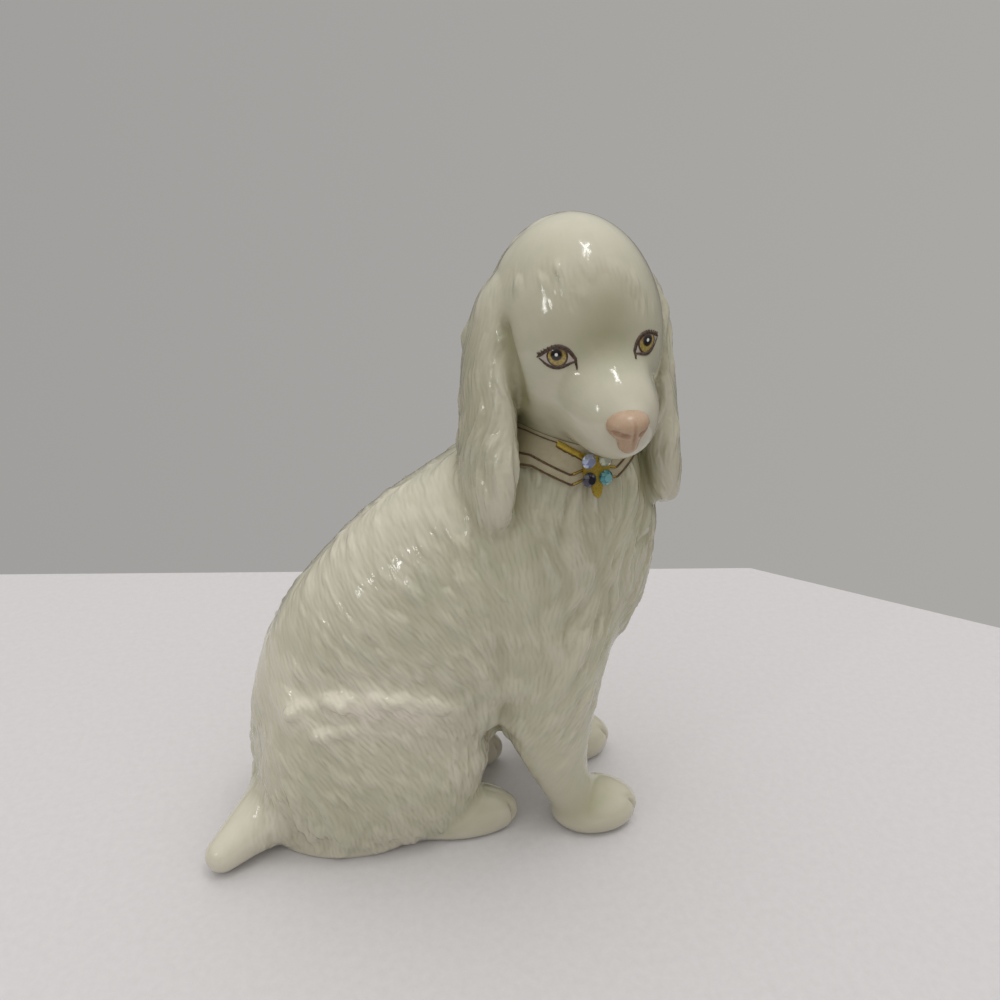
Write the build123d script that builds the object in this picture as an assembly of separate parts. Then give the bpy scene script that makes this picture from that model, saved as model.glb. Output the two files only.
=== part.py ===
from build123d import *
import os
from math import cos, radians, sin, sqrt

# Seated spaniel of glazed porcelain, in millimetres.
# X runs forward along the dog, Y to its left and Z up from the table it sits on.

# Body casting: horizontal oval sections from the base up to the neck joint.
body_length = 98.0
body_height = 108.0
body_half_width = 22.5
body_wall = 3.0
# Each row: height, rear end and front end of the section, and its half width.
body_section_shares = [
    (0.0, -0.370, 0.100, 0.80),
    (0.05, -0.392, 0.120, 0.87),
    (0.17, -0.405, 0.165, 0.93),
    (0.28, -0.395, 0.260, 0.95),
    (0.37, -0.380, 0.420, 0.98),
    (0.47, -0.343, 0.540, 1.0),
    (0.56, -0.290, 0.580, 1.0),
    (0.655, -0.200, 0.592, 0.96),
    (0.74, -0.100, 0.588, 0.88),
    (0.82, 0.030, 0.565, 0.78),
    (0.885, 0.140, 0.530, 0.70),
    (0.94, 0.200, 0.510, 0.66),
    (1.0, 0.235, 0.495, 0.60),
]
vent_radius = 3.5
vent_back = 18.0

# Haunches, one on each side of the body.
haunch_length = 54.0
haunch_width = 22.0
haunch_height = 52.0
haunch_from_rear = 29.7
haunch_inset = 10.0
haunch_rise = 22.0
# Low lumps of coat along the top of each haunch.
crest_length = 18.0
crest_width = 12.0
crest_height = 11.0
# Each row: how far a lump lies forward, out and up from the haunch's centre.
crest_place_shares = [
    (-0.46, 0.07, 0.67),
    (-0.14, 0.26, 0.83),
    (0.23, 0.45, 0.86),
    (0.58, 0.47, 0.77),
    (-0.23, 0.38, 0.53),
]

# Hind feet, tucked forward under the haunches.
hind_foot_length = 30.0
hind_foot_width = 12.5
hind_foot_height = 17.0
hind_foot_ahead = 19.5
hind_foot_inset = 0.5
hind_foot_rise = 4.0

# Forelegs: oval sections from the table up into the breast, with a paw at the foot.
foreleg_height = 56.0
foreleg_half_depth = 11.0
foreleg_half_width = 9.0
foreleg_set_back = 26.0
# Each row: height, forward shift of the centre, half depth and half width.
foreleg_section_shares = [
    (0.0, 0.78, 0.54, 0.72),
    (0.13, 0.50, 0.56, 0.72),
    (0.26, 0.22, 0.62, 0.76),
    (0.46, -0.04, 0.84, 0.88),
    (0.72, 0.0, 1.0, 1.0),
    (1.0, 0.10, 0.92, 0.92),
]
paw_length = 22.0
paw_width = 16.5
paw_height = 12.6
paw_ahead = 11.0
paw_rise = 4.0

# Tail: a tapered round form from the rump to its blunt tip on the table.
tail_root_radius = 9.2
tail_tip_radius = 4.2
tail_root_inset = 9.7
tail_root_out = -5.0
tail_root_rise = 11.4
tail_tip_beyond = 6.8
tail_tip_out = -17.0

# Head casting, turned towards the dog's right and bowed a little.
head_ahead = 0.4
head_out = -4.0
head_above_neck = 12.2
head_yaw = -81.0
head_bow = 5.0
head_tilt = 5.2
skull_half_length = 20.0
skull_half_width = 18.5
skull_half_height = 25.0
head_wall = 3.0
muzzle_length = 29.0
muzzle_half_width = 10.4
muzzle_half_height = 13.6
# Each row: distance along the muzzle, height of its centre, half width and half height.
muzzle_section_shares = [
    (0.10, -0.38, 1.40, 0.92),
    (0.38, -0.46, 1.22, 0.86),
    (0.64, -0.58, 0.96, 0.76),
    (0.86, -0.68, 0.76, 0.60),
    (0.97, -0.72, 0.52, 0.40),
    (1.0, -0.72, 0.30, 0.22),
]
nose_half_length = 4.0
nose_half_width = 4.6
nose_half_height = 3.6
nose_back_share = 0.55
nose_rise_share = -0.58
enamel_thickness = 0.3

# Ears: oval sections hanging from beside the crown to below the collar.
ear_length = 51.0
ear_half_depth = 10.5
ear_half_thickness = 4.5
ear_stand = 1.5
ear_back = 1.0
ear_turn = 10.0
right_ear_swing = 8.0
left_ear_swing = 4.0
ear_below_crown = 12.0
# Each row: drop from the top, distance out, forward swing, half depth and half thickness.
ear_section_shares = [
    (0.0, 0.66, 0.0, 0.36, 0.62),
    (0.12, 0.80, 0.0, 0.62, 1.0),
    (0.28, 0.89, 0.08, 0.80, 1.0),
    (0.48, 0.96, 0.32, 0.92, 1.0),
    (0.68, 1.0, 0.64, 1.0, 1.04),
    (0.85, 1.04, 0.88, 0.94, 1.0),
    (0.95, 1.04, 0.97, 0.66, 0.84),
    (1.0, 1.02, 1.0, 0.28, 0.46),
]

# Eyes: thin enamel almonds on the face.
eye_length = 8.4
eye_height = 4.4
eye_out = 9.7
eye_rise = 2.7
eye_turn = 24.0

# Collar: a band around the neck that dips to the stones, with two points below beside them.
collar_thickness = 1.2
collar_height = 5.6
collar_below_neck_top = 12.7
collar_tilt = 6.0
collar_side_out = 13.0
collar_side_lift = 3.6
collar_yaw = -79.0
collar_point_drop = 1.8
collar_point_out = 5.5
gold_line_width = 0.8
upper_gold_line_width = 1.4
gold_line_gap = 1.2
gold_thickness = 0.25

# Pendant: a gilded plate with a drop, which carries four flat-back stones.
stone_diameter = 3.4
stone_height = 1.5
stone_table_share = 0.55
stone_sides = 12
stone_gap = 0.5
adhesive_thickness = 0.2
adhesive_share = 0.8
pendant_rise = 1.6
pendant_inset = 0.8
pendant_corner = 1.6
pendant_thickness = 0.9
pendant_drop_length = 3.4
pendant_drop_width = 2.4
overrun = 4.0

SIDES = {"right": -1, "left": 1}

# Places that follow from the body and from the pieces beside them.
body_rear = body_length * min(rear_share for _, rear_share, _, _ in body_section_shares)
body_front = body_length * max(front_share for _, _, front_share, _ in body_section_shares)
neck_forward = body_length * (body_section_shares[-1][1] + body_section_shares[-1][2]) / 2
haunch_forward = body_rear + haunch_from_rear
haunch_out = body_half_width - haunch_inset
hind_foot_out = haunch_out - hind_foot_inset
foreleg_forward = body_front - foreleg_set_back
foreleg_out = body_half_width - foreleg_half_width
stone_pitch = stone_diameter + stone_gap
pendant_side = stone_pitch + stone_diameter - 2 * pendant_inset


def oval(centre_x, centre_y, height, half_x, half_y):
    return Pos(centre_x, centre_y, height) * Ellipse(half_x, half_y)


def ellipsoid(half_x, half_y, half_z):
    return scale(Sphere(1), by=(half_x, half_y, half_z))


def one_solid(shape):
    return max(shape.solids(), key=lambda solid: solid.volume)


def body_stack(outset, floor, top):
    """The body's oval sections, each grown by the outset, lofted from the floor to the top."""
    sections = []
    for rise_share, rear_share, front_share, width_share in body_section_shares:
        rear = rear_share * body_length - outset
        front = front_share * body_length + outset
        rise = max(rise_share * body_height, floor)
        half_width = width_share * body_half_width + outset
        sections.append(oval((rear + front) / 2, 0, rise, (front - rear) / 2, half_width))
    if top > body_height:
        sections.append(oval((rear + front) / 2, 0, top, (front - rear) / 2, half_width))
    return loft(sections)


def above_table(shape):
    reach = 2 * (body_length + body_height)
    return shape & Pos(0, 0, reach / 2) * Box(reach, reach, reach)


def haunch(side):
    """One haunch with the lumps along its top."""
    form = ellipsoid(haunch_length / 2, haunch_width / 2, haunch_height / 2)
    for forward_share, out_share, rise_share in crest_place_shares:
        place = Pos(
            forward_share * haunch_length / 2,
            side * out_share * haunch_width / 2,
            rise_share * haunch_height / 2,
        )
        form += place * ellipsoid(crest_length / 2, crest_width / 2, crest_height / 2)
    return Pos(haunch_forward, side * haunch_out, haunch_rise) * form


def hind_foot(side):
    form = ellipsoid(hind_foot_length / 2, hind_foot_width / 2, hind_foot_height / 2)
    place = Pos(haunch_forward + hind_foot_ahead, side * hind_foot_out, hind_foot_rise)
    return above_table(place * form)


def foreleg(side):
    sections = []
    for rise_share, shift_share, depth_share, width_share in foreleg_section_shares:
        sections.append(
            oval(
                foreleg_forward + shift_share * foreleg_half_depth,
                side * foreleg_out,
                rise_share * foreleg_height,
                depth_share * foreleg_half_depth,
                width_share * foreleg_half_width,
            )
        )
    paw = ellipsoid(paw_length / 2, paw_width / 2, paw_height / 2)
    paw_place = Pos(foreleg_forward + paw_ahead, side * foreleg_out, paw_rise)
    return above_table(loft(sections) + paw_place * paw)


def tail_form():
    root = Vector(body_rear + tail_root_inset, tail_root_out, tail_root_rise)
    tip = Vector(body_rear - tail_tip_beyond, tail_tip_out, tail_tip_radius)
    root_plane = Plane(origin=root, z_dir=tip - root)
    tip_plane = Plane(origin=tip, z_dir=tip - root)
    taper = loft([root_plane * Circle(tail_root_radius), tip_plane * Circle(tail_tip_radius)])
    return above_table(taper + Pos(tip) * Sphere(tail_tip_radius))


head_place = Pos(neck_forward + head_ahead, head_out, body_height + head_above_neck)
ear_plane = head_place * Rot(0, 0, head_yaw)
head_plane = ear_plane * Rot(0, head_bow, 0) * Rot(head_tilt, 0, 0)


def skull(outset):
    return ellipsoid(
        skull_half_length + outset, skull_half_width + outset, skull_half_height + outset
    )


def muzzle(outset):
    sections = []
    for along_share, rise_share, width_share, height_share in muzzle_section_shares:
        half_height = height_share * muzzle_half_height + outset
        half_width = width_share * muzzle_half_width + outset
        place = Pos(along_share * muzzle_length, 0, rise_share * muzzle_half_height)
        sections.append(place * Rot(0, 90, 0) * Ellipse(half_height, half_width))
    return loft(sections)


def nose(outset):
    place = Pos(
        muzzle_length - nose_back_share * nose_half_length, 0, nose_rise_share * muzzle_half_height
    )
    return place * ellipsoid(
        nose_half_length + outset, nose_half_width + outset, nose_half_height + outset
    )


def ear(side, swing):
    sections = []
    for drop_share, out_share, swing_share, depth_share, thickness_share in ear_section_shares:
        place = Pos(
            swing_share * swing - ear_back,
            side * out_share * (skull_half_width + ear_stand),
            skull_half_height - ear_below_crown - drop_share * ear_length,
        )
        outline = Ellipse(depth_share * ear_half_depth, thickness_share * ear_half_thickness)
        sections.append(place * Rot(0, 0, -side * ear_turn) * outline)
    return loft(sections)


def eye(side):
    almond = Ellipse(eye_length / 2, eye_height / 2)
    forward = skull_half_length * sqrt(1 - (eye_out / skull_half_width) ** 2)
    aim = Plane(
        origin=(forward, side * eye_out, eye_rise),
        x_dir=(-sin(radians(eye_turn)), side * cos(radians(eye_turn)), 0),
        z_dir=(cos(radians(eye_turn)), side * sin(radians(eye_turn)), 0),
    )
    return extrude(aim * almond, overrun, both=True)


def collar_zone(lower, upper):
    """The space between two lines round the neck, each a list of points across its front."""
    reach = body_length
    front_face = make_face(Polyline(*lower, *reversed(upper), close=True))
    back_face = make_face(
        Polyline(lower[0], lower[-1], upper[-1], upper[0], close=True)
    )
    return collar_plane * (extrude(front_face, reach) + extrude(back_face, -reach))


def across_front(middle):
    """A line right across the collar's front: the given points, and the lifted sides beyond."""
    side_rise = middle[0][1] + collar_side_lift
    far = [(body_length, side_rise), (collar_side_out, side_rise)]
    mirrored = [(-out, rise) for out, rise in middle]
    return [(-out, rise) for out, rise in far] + mirrored + middle[-2::-1] + far[::-1]


def pointed_line(rise):
    """The collar's lower line, with a point on each side of the stones."""
    return across_front([(collar_point_out, rise - collar_point_drop), (0, rise)])


def dipped_line(rise):
    """The collar's upper line, which dips to the stones."""
    return across_front([(0, rise)])


aim = radians(collar_yaw)
tilt = radians(collar_tilt)
collar_plane = Plane(
    origin=(neck_forward, 0, body_height - collar_below_neck_top),
    x_dir=(-sin(aim), cos(aim), 0),
    z_dir=(cos(aim) * cos(tilt), sin(aim) * cos(tilt), -sin(tilt)),
)

# Outer forms, before the pieces are cut by one another.
body_form = above_table(body_stack(0, 0, body_height) + haunch(-1) + haunch(1))
head_form = head_plane * (skull(0) + muzzle(0) + nose(0))

# Castings.
parts = {}
cavity = body_stack(-body_wall, body_wall, body_height + overrun)
vent = Pos(-vent_back, 0, 0) * Cylinder(vent_radius, 2 * (body_wall + overrun))
parts["body_casting"] = one_solid(body_form - cavity - vent)
parts["head_casting"] = one_solid(head_form - body_form - head_plane * skull(-head_wall))
for name, side in SIDES.items():
    parts[f"{name}_foreleg"] = one_solid(foreleg(side) - body_form)
    parts[f"{name}_hind_foot"] = one_solid(hind_foot(side) - body_form)
parts["tail"] = one_solid(tail_form() - body_form)

# Collar and its gold lines.
neck_and_head = body_form + head_form
collar_shell = body_stack(collar_thickness, 0, body_height)
gold_shell = body_stack(collar_thickness + gold_thickness, 0, body_height)
band_zone = collar_zone(pointed_line(0), dipped_line(collar_height))
parts["collar_band"] = one_solid((collar_shell & band_zone) - neck_and_head)
line_step = gold_line_width + gold_line_gap
gold_zones = {
    "collar_upper_gold_line": collar_zone(
        dipped_line(collar_height - upper_gold_line_width), dipped_line(collar_height)
    ),
    "collar_lower_gold_line": collar_zone(pointed_line(0), pointed_line(gold_line_width)),
    "collar_inner_gold_line": collar_zone(
        pointed_line(line_step), pointed_line(line_step + gold_line_width)
    ),
}
for name, zone in gold_zones.items():
    parts[name] = one_solid((gold_shell & zone) - collar_shell - neck_and_head)
collar = collar_shell & band_zone
for name in gold_zones:
    collar = collar + parts[name]

# Pendant, adhesive and stones, square to the collar in front of the neck.
aim_line = Axis(collar_plane.from_local_coords((0, pendant_rise, 0)), collar_plane.z_dir)
seat_point, seat_normal = max(
    gold_shell.find_intersection_points(aim_line), key=lambda hit: aim_line.direction.dot(hit[0])
)
seat = Plane(origin=seat_point, x_dir=collar_plane.x_dir, z_dir=seat_normal)
plate = RectangleRounded(pendant_side, pendant_side, pendant_corner)
plate += Pos(0, -pendant_side / 2) * Ellipse(pendant_drop_width / 2, pendant_drop_length)
pendant = seat * Pos(0, 0, -overrun) * extrude(plate, overrun + pendant_thickness)
parts["gilded_pendant"] = one_solid(pendant - collar - neck_and_head - collar_shell)
beads = []
for row, height_sign in {"upper": 1, "lower": -1}.items():
    for name, side in SIDES.items():
        place = seat * Pos(side * stone_pitch / 2, height_sign * stone_pitch / 2, pendant_thickness)
        beads.append(
            place * extrude(Circle(adhesive_share * stone_diameter / 2), adhesive_thickness)
        )
        girdle = RegularPolygon(stone_diameter / 2, stone_sides)
        table = Pos(0, 0, stone_height) * RegularPolygon(
            stone_table_share * stone_diameter / 2, stone_sides
        )
        parts[f"{row}_{name}_stone"] = one_solid(
            place * Pos(0, 0, adhesive_thickness) * loft([girdle, table], ruled=True)
        )
parts["stone_adhesive"] = Compound(children=[one_solid(bead) for bead in beads])

# Ears, which hang over the collar.
ears = {"right": ear(SIDES["right"], right_ear_swing), "left": ear(SIDES["left"], left_ear_swing)}
for name, form in ears.items():
    parts[f"{name}_ear"] = one_solid(ear_plane * form - neck_and_head - collar)

# Enamel of the eyes and the nose.
for name, side in SIDES.items():
    face = skull(enamel_thickness) + muzzle(enamel_thickness)
    parts[f"{name}_eye_enamel"] = one_solid(head_plane * (eye(side) & face) - head_form)
parts["nose_enamel"] = one_solid(head_plane * nose(enamel_thickness) - head_form)

os.makedirs("parts", exist_ok=True)
for name, part in parts.items():
    export_step(part, f"parts/{name}.step")
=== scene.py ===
import bpy
import math
import numpy as np
import openvdb as vdb
from mathutils import Euler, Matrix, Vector
from mathutils.bvhtree import BVHTree


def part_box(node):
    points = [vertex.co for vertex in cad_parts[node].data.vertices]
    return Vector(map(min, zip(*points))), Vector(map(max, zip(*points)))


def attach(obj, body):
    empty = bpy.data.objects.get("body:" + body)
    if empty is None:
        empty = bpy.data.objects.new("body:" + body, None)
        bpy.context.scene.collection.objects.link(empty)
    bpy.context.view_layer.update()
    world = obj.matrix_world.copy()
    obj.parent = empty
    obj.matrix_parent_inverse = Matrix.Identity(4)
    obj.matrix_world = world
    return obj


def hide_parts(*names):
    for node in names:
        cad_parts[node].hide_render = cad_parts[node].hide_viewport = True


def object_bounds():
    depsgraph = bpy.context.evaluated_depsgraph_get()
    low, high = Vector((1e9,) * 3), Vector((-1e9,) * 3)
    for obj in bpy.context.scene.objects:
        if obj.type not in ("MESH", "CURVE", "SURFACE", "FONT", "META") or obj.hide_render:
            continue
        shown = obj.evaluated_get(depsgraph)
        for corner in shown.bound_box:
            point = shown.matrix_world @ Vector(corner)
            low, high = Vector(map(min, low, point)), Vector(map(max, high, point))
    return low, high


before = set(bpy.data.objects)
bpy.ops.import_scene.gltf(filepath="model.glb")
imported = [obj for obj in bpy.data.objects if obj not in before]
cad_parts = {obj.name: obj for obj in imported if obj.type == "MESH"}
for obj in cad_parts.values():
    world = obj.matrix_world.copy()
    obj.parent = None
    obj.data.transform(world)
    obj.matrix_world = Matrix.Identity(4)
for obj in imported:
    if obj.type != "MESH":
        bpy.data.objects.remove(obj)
cad_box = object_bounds()

# Lengths are in millimetres unless a name says otherwise, and MM turns them into metres.
MM = 0.001
rng = np.random.default_rng(11)

# Camera of the photograph, a square picture of PICTURE pixels.
PICTURE = 1000
SENSOR = 36.0
FOCAL_PIXELS = 900.0
CAMERA_PLACE = np.array((-7.86, -185.60, 161.93))
CAMERA_TURN = Euler((math.radians(67.0), 0.0, math.radians(-9.0)))
camera_axes = np.array(CAMERA_TURN.to_matrix())

# Clay: the castings as one distance field on a grid, so that they flow into one another.
VOXEL = 0.44
BAND = 6.0
# Reach of a blur, in its spreads, and of the part of the grid that a form changes.
BLUR_TAPS = 2.5
WINDOW_SHARE = 1.3
CASTINGS = [
    "body_casting", "head_casting", "right_foreleg", "left_foreleg", "right_hind_foot",
    "left_hind_foot", "tail", "right_ear", "left_ear",
]
HOLLOW = ["body_casting", "head_casting"]
# How softly each casting flows into the ones before it.
BLEND_REACH = {
    "right_foreleg": 7.0, "left_foreleg": 7.0, "right_hind_foot": 2.2, "left_hind_foot": 2.2,
    "tail": 4.0, "head_casting": 1.8,
}
# Radius to which the creases within a casting are filled.
FILLETS = {"head_casting": 5.5, "right_foreleg": 5.0, "left_foreleg": 5.0}
EAR_REACH = 1.6
SOFTENING = 1.2
BODY_SOFTENING = 2.4
EAR_SOFTENING = 0.6

HOLLOW_SPREAD = 2.6

# Hair direction marks: pixel across, pixel down, and angle below the picture's right.
FLOW_MARKS = [
    (300, 640, 75), (330, 600, 70), (370, 560, 68), (420, 530, 66), (450, 570, 58),
    (490, 590, 58), (420, 600, 50), (380, 620, 46), (340, 640, 50), (310, 680, 60),
    (460, 630, 50), (500, 650, 60), (430, 660, 38), (390, 670, 40), (350, 680, 42),
    (470, 680, 45), (505, 690, 62), (280, 730, 62), (320, 740, 50), (360, 745, 44),
    (400, 740, 44), (440, 730, 60), (470, 740, 82), (280, 780, 66), (320, 785, 52),
    (360, 790, 42), (400, 790, 46), (440, 780, 64), (475, 780, 95), (290, 825, 80),
    (340, 840, 84), (390, 835, 78), (430, 825, 60), (500, 545, 80), (530, 530, 88),
    (560, 540, 84), (590, 535, 88), (620, 525, 100), (640, 530, 105), (520, 590, 78),
    (550, 590, 80), (580, 590, 88), (610, 585, 100), (632, 580, 112), (520, 640, 80),
    (550, 640, 98), (580, 640, 112), (605, 630, 122), (520, 690, 100), (550, 690, 122),
    (580, 690, 128), (530, 730, 128), (560, 730, 132), (545, 770, 135), (570, 770, 132),
    (570, 800, 120), (600, 815, 60),
]
FLOW_SPREAD = 7.0
FLOW_FALL = 0.02
FLOW_CHUNK = 20000
WAVE_PITCH = (4.2, 6.0, 7.0)
WAVE_SWAY = 0.35
WAVE_TURN = 2.0
# Where the chest and the ears begin, and how the crown's hair spreads.
CHEST_AHEAD = (18.0, 34.0)
CHEST_RISE = (42.0, 56.0)
EAR_FADE = (-9.0, 2.0)
CROWN_STRETCH = (1.0, 1.0, 0.3)
# Hair strokes: width, half length, depth.
FINE_STROKE = (0.5, 3.8, 0.16)
BROAD_STROKE = (1.25, 7.0, 0.24)
STROKE_STEP = 0.4
# Change of their depth on the ears.
EAR_FINE = 0.7
EAR_BROAD = -0.6
CAP_DEPTH = 1.6

# Sculpted marks on the photograph: pixels, half sizes, depth and softness of the border.
CREST = [
    (291, 713), (302, 706), (315, 710), (327, 703), (340, 709), (352, 702), (365, 708),
    (378, 702), (391, 707), (404, 703), (417, 709), (430, 706), (441, 712),
]
LOWER_CREST = [(317, 739), (330, 734), (344, 731), (360, 728), (373, 733)]
LUMP = (2.2, 1.5, 1.5)
LUMP_DEPTH = 0.2
LUMP_BORDER = 1.1
CREASES = [
    (
        [(300, 690), (330, 686), (360, 684), (395, 684), (430, 688), (458, 700)],
        (4.0, 3.0, 2.6), -0.5,
    ),
    ([(474, 712), (486, 735)], (2.6, 3.0, 4.0), -0.8),
    ([(500, 640), (500, 665), (499, 690), (499, 715)], (2.2, 3.0, 5.0), -0.8),
]
CREASE_BORDER = 2.0
# Groove between the ear and the cheek; the painted shade along it is a reach and a strength.
EAR_EDGE = [(505, 327), (507, 338), (511, 352), (515, 366), (519, 382), (523, 400)]
EDGE_STATIONS = 14
EDGE_FORM = 1.3
EDGE_DEPTH = 0.75
EDGE_BORDER = 0.9
EDGE_SHADE_PAINT = (1.7, 0.75)
# Low edge of the haunch, where it meets the table.
SKIRT = [(304, 851), (318, 855), (332, 857), (346, 857), (362, 855), (378, 852)]
SKIRT_FORM = (5.0, 4.0, 4.5)
SKIRT_RISE = 2.0
SKIRT_REACH = 3.0
# Ends of the hair on the crown, above the smooth forehead.
FRINGE = [
    (514, 282), (519, 277), (543, 275), (550, 272), (556, 274), (562, 278), (567, 284), (570, 291),
    (565, 297), (588, 268), (593, 272), (600, 274), (624, 275), (630, 281), (634, 288), (638, 296),
    (643, 304),
]
FRINGE_REACH = 1.9
FRINGE_COAT = 0.8
# Patches of painted shade in olive, or of painted light in pale ivory where the strength is below zero:
# pixel across, pixel down, reach and strength. Those on the body are mirrored to its far side.
# Strength of the painted shade on the ears, and on the chest, where it is partly pooled glaze.
EAR_SHADE_PAINT = 0.05
CHEST_SHADE_AND_POOL = 0.1
HEAD_SHADE_PATCHES = [
    (612, 300, 4.2, 0.55), (604, 335, 4.5, 0.45), (560, 325, 5.0, 0.12), (530, 415, 3.0, 0.4),
]
BODY_SHADE_AND_LIGHT_PATCHES = [
    (600, 815, 9.0, 0.35), (575, 800, 8.0, 0.25), (490, 815, 6.0, 0.25), (305, 712, 5.0, -0.3),
    (340, 709, 5.0, -0.4), (372, 707, 5.0, -0.45), (404, 708, 5.0, -0.45), (434, 714, 5.0, -0.4),
    (345, 735, 6.0, -0.2), (395, 738, 6.0, -0.2), (445, 738, 6.0, -0.25), (465, 760, 6.0, -0.2),
    (260, 815, 7.0, -0.35), (225, 845, 7.0, -0.45), (280, 690, 8.0, -0.3), (330, 575, 9.0, -0.3),
    (395, 515, 9.0, -0.3), (275, 655, 8.0, -0.3),
]


def pixel_ray(x, y):
    """The direction from the camera through a pixel of the photograph."""
    ray = camera_axes @ np.array(((x - PICTURE / 2), (PICTURE / 2 - y), -FOCAL_PIXELS))
    return ray / np.linalg.norm(ray)


def unit(vectors):
    return vectors / np.maximum(np.linalg.norm(vectors, axis=-1, keepdims=True), 1e-9)


def node_mesh(name):
    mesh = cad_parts[name].data
    mesh.calc_loop_triangles()
    points = np.empty(3 * len(mesh.vertices), np.float32)
    mesh.vertices.foreach_get("co", points)
    corners = np.empty(3 * len(mesh.loop_triangles), np.int32)
    mesh.loop_triangles.foreach_get("vertices", corners)
    return points.reshape(-1, 3) / MM, corners.reshape(-1, 3).astype(np.uint32)


box_low, box_high = (np.array(corner) / MM for corner in cad_box)
grid_low = np.floor((box_low - BAND) / VOXEL).astype(int)
grid_size = np.ceil((box_high + BAND) / VOXEL).astype(int) - grid_low
grid_transform = vdb.createLinearTransform(voxelSize=VOXEL)
grid_axes = [(grid_low[i] + np.arange(grid_size[i])) * VOXEL for i in range(3)]


def level_set(name):
    """Distance to a casting's surface, negative inside, within the band."""
    points, corners = node_mesh(name)
    grid = vdb.FloatGrid.createLevelSetFromPolygons(
        points, triangles=corners, transform=grid_transform, halfWidth=BAND / VOXEL
    )
    values = np.full(grid_size, BAND, np.float32)
    grid.copyToArray(values, ijk=tuple(int(i) for i in grid_low))
    return values


def filled(values):
    """The field with the space inside a hollow casting closed."""
    inside = values < 0
    enclosed = ~inside
    for axis in (0, 1):
        before = np.logical_or.accumulate(inside, axis=axis)
        after = np.flip(np.logical_or.accumulate(np.flip(inside, axis), axis=axis), axis)
        enclosed &= before & after
    return np.where(enclosed, np.float32(-BAND), values)


def smooth_union(a, b, reach):
    share = np.clip(0.5 + 0.5 * (b - a) / reach, 0, 1)
    return b * (1 - share) + a * share - reach * share * (1 - share)


def softened(values, spread):
    """Gaussian blur of a field."""
    sigma = spread / VOXEL
    taps = int(math.ceil(BLUR_TAPS * sigma))
    weights = np.exp(-0.5 * (np.arange(taps + 1) / sigma) ** 2)
    weights /= weights[0] + 2 * weights[1:].sum()
    for axis in range(3):
        total = values * np.float32(weights[0])
        for step in range(1, taps + 1):
            both = np.roll(values, step, axis) + np.roll(values, -step, axis)
            total += np.float32(weights[step]) * both
        values = total
    return values


def window(centre, reach):
    """Slices of the grid around a point, and the coordinates in them."""
    slices = []
    coordinates = []
    for axis in range(3):
        start = int((centre[axis] - reach) / VOXEL - grid_low[axis])
        stop = int((centre[axis] + reach) / VOXEL - grid_low[axis]) + 1
        part = slice(max(start, 0), min(stop, int(grid_size[axis])))
        slices.append(part)
        coordinates.append(grid_axes[axis][part])
    return tuple(slices), np.stack(np.meshgrid(*coordinates, indexing="ij"), axis=-1)


def egg(points, centre, axes, halves):
    """Distance, near enough, to an ellipsoid with the given axes and half sizes."""
    local = (points - centre) @ np.array(axes).T / np.array(halves)
    return (np.linalg.norm(local, axis=-1) - 1) * min(halves)


def press(values, centre, axes, halves, reach, raised):
    """Adds an ellipsoid of clay, or takes one away, with a soft border."""
    slices, points = window(centre, WINDOW_SHARE * max(halves) + 2 * reach)
    form = egg(points, centre, axes, halves).astype(np.float32)
    if raised:
        values[slices] = smooth_union(values[slices], form, reach)
    else:
        values[slices] = -smooth_union(-values[slices], form, reach)


def grid_of(values):
    grid = vdb.FloatGrid(background=BAND)
    grid.copyFromArray(np.ascontiguousarray(values), ijk=tuple(int(i) for i in grid_low))
    grid.transform = grid_transform
    return grid


def filleted(values, radius):
    """The field with its creases filled to a radius, by growing the form and shrinking it back."""
    points, quads = grid_of(values).convertToQuads(isovalue=radius)
    grown = vdb.FloatGrid.createLevelSetFromPolygons(
        points, quads=quads, transform=grid_transform, halfWidth=(BAND + radius) / VOXEL
    )
    result = np.full(grid_size, BAND + radius, np.float32)
    grown.copyToArray(result, ijk=tuple(int(i) for i in grid_low))
    return np.minimum(values, result + np.float32(radius))


fields = {}
for name in CASTINGS:
    fields[name] = level_set(name)
    if name in HOLLOW:
        fields[name] = filled(fields[name])
for name, radius in FILLETS.items():
    fields[name] = filleted(fields[name], radius)

cad_points = []
cad_corners = []
for name in CASTINGS:
    node_points, node_corners = node_mesh(name)
    cad_corners.append(node_corners.astype(int) + sum(len(block) for block in cad_points))
    cad_points.append(node_points)
cad_tree = BVHTree.FromPolygons(
    np.concatenate(cad_points).tolist(), np.concatenate(cad_corners).tolist()
)


def seen(x, y, tree):
    """Where the camera's ray through a pixel meets a surface, and the normal there."""
    hit, normal, face, depth = tree.ray_cast(Vector(CAMERA_PLACE), Vector(pixel_ray(x, y)))
    return np.array(hit), np.array(normal)


BOTH_SIDES = ((1, 1, 1), (1, -1, 1))


def marked(pixels, halves, depth, border):
    """Sculpts a row of small forms at pixels, raised or cut by their depth."""
    for x, y in pixels:
        place, normal = seen(x, y, cad_tree)
        for mirror in BOTH_SIDES:
            size = np.array(halves) * rng.uniform(0.8, 1.2)
            centre = place - normal * (size[1] - depth if depth > 0 else -size[1] - depth)
            press(clay, centre * mirror, np.eye(3), size, border, depth > 0)


def on_table(x, y):
    """Where the camera's ray through a pixel meets the table."""
    ray = pixel_ray(x, y)
    return CAMERA_PLACE - ray * CAMERA_PLACE[2] / ray[2]


clay = softened(fields["body_casting"], BODY_SOFTENING)
for x, y in SKIRT:
    centre = on_table(x, y) + (0.0, SKIRT_FORM[1], SKIRT_RISE)
    for mirror in BOTH_SIDES:
        press(clay, centre * mirror, np.eye(3), SKIRT_FORM, SKIRT_REACH, True)
for name, reach in BLEND_REACH.items():
    clay = smooth_union(clay, fields[name], reach)
for pixels, halves, depth in CREASES:
    marked(pixels, halves, depth, CREASE_BORDER)
clay = softened(clay, SOFTENING)
for pixels in (CREST, LOWER_CREST):
    marked(pixels, LUMP, LUMP_DEPTH, LUMP_BORDER)


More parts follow.
